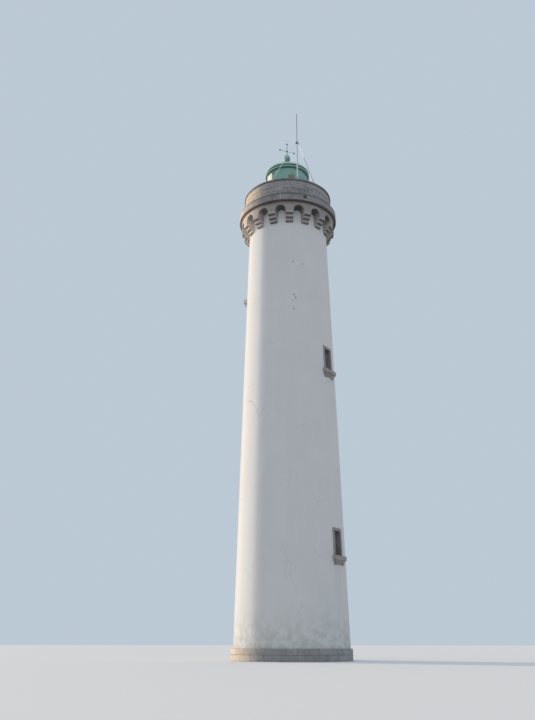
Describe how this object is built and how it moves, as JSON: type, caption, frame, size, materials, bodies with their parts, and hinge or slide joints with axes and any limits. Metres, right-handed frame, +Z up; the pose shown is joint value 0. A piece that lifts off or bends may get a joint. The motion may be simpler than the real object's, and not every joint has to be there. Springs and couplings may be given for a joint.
{
  "type": "lighthouse",
  "caption": "Tall tapering rendered lighthouse tower with an arched stone gallery on corbels, a parapet, a low green lantern and a stayed mast.",
  "frame": {"origin": "centre of the tower's flat base, at ground level", "axes": "+Z up along the tower's axis, -Y towards the front, +X to the right seen from the front"},
  "size_m": [7.4962, 8.5413, 38.21],
  "materials": {
    "white_render": "matte",
    "granite": "matte",
    "floor_stone": "matte",
    "painted_wood": "satin",
    "window_glass": "gloss",
    "green_paint": "satin",
    "dark_iron": "satin",
    "mast_metal": "satin",
    "white_sleeve": "matte"
  },
  "bodies": {
    "root": {"shaft_lift_1": "white_render", "shaft_lift_2": "white_render", "shaft_lift_3": "white_render", "shaft_lift_4": "white_render", "shaft_lift_5": "white_render", "shaft_lift_6": "white_render", "plinth": "granite", "door_step_1": "granite", "door_step_2": "granite", "door_step_3": "granite", "door_surround": "granite", "window_sills": "granite", "window_surrounds": "granite", "corbels_lower": "granite", "corbels_middle": "granite", "corbels_upper": "granite", "frieze": "granite", "cornice": "granite", "parapet": "granite", "coping": "granite", "coping_block": "granite", "ground_floor": "floor_stone", "gallery_floor": "floor_stone", "door_leaf": "painted_wood", "window_frames": "painted_wood", "window_panes": "window_glass", "lantern_glass": "window_glass", "lantern_base": "green_paint", "gallery_door": "green_paint", "lantern_frame": "green_paint", "lantern_panels": "green_paint", "gutter": "green_paint", "lantern_roof": "green_paint", "ventilator": "green_paint", "finial_rod": "dark_iron", "finial_arms": "dark_iron", "mast_collar": "dark_iron", "mast_whip": "dark_iron", "stay_feet": "dark_iron", "mast_tube": "mast_metal", "stay_left": "mast_metal", "stay_right": "mast_metal", "stay_sleeve": "white_sleeve"}
  },
  "joints": []
}
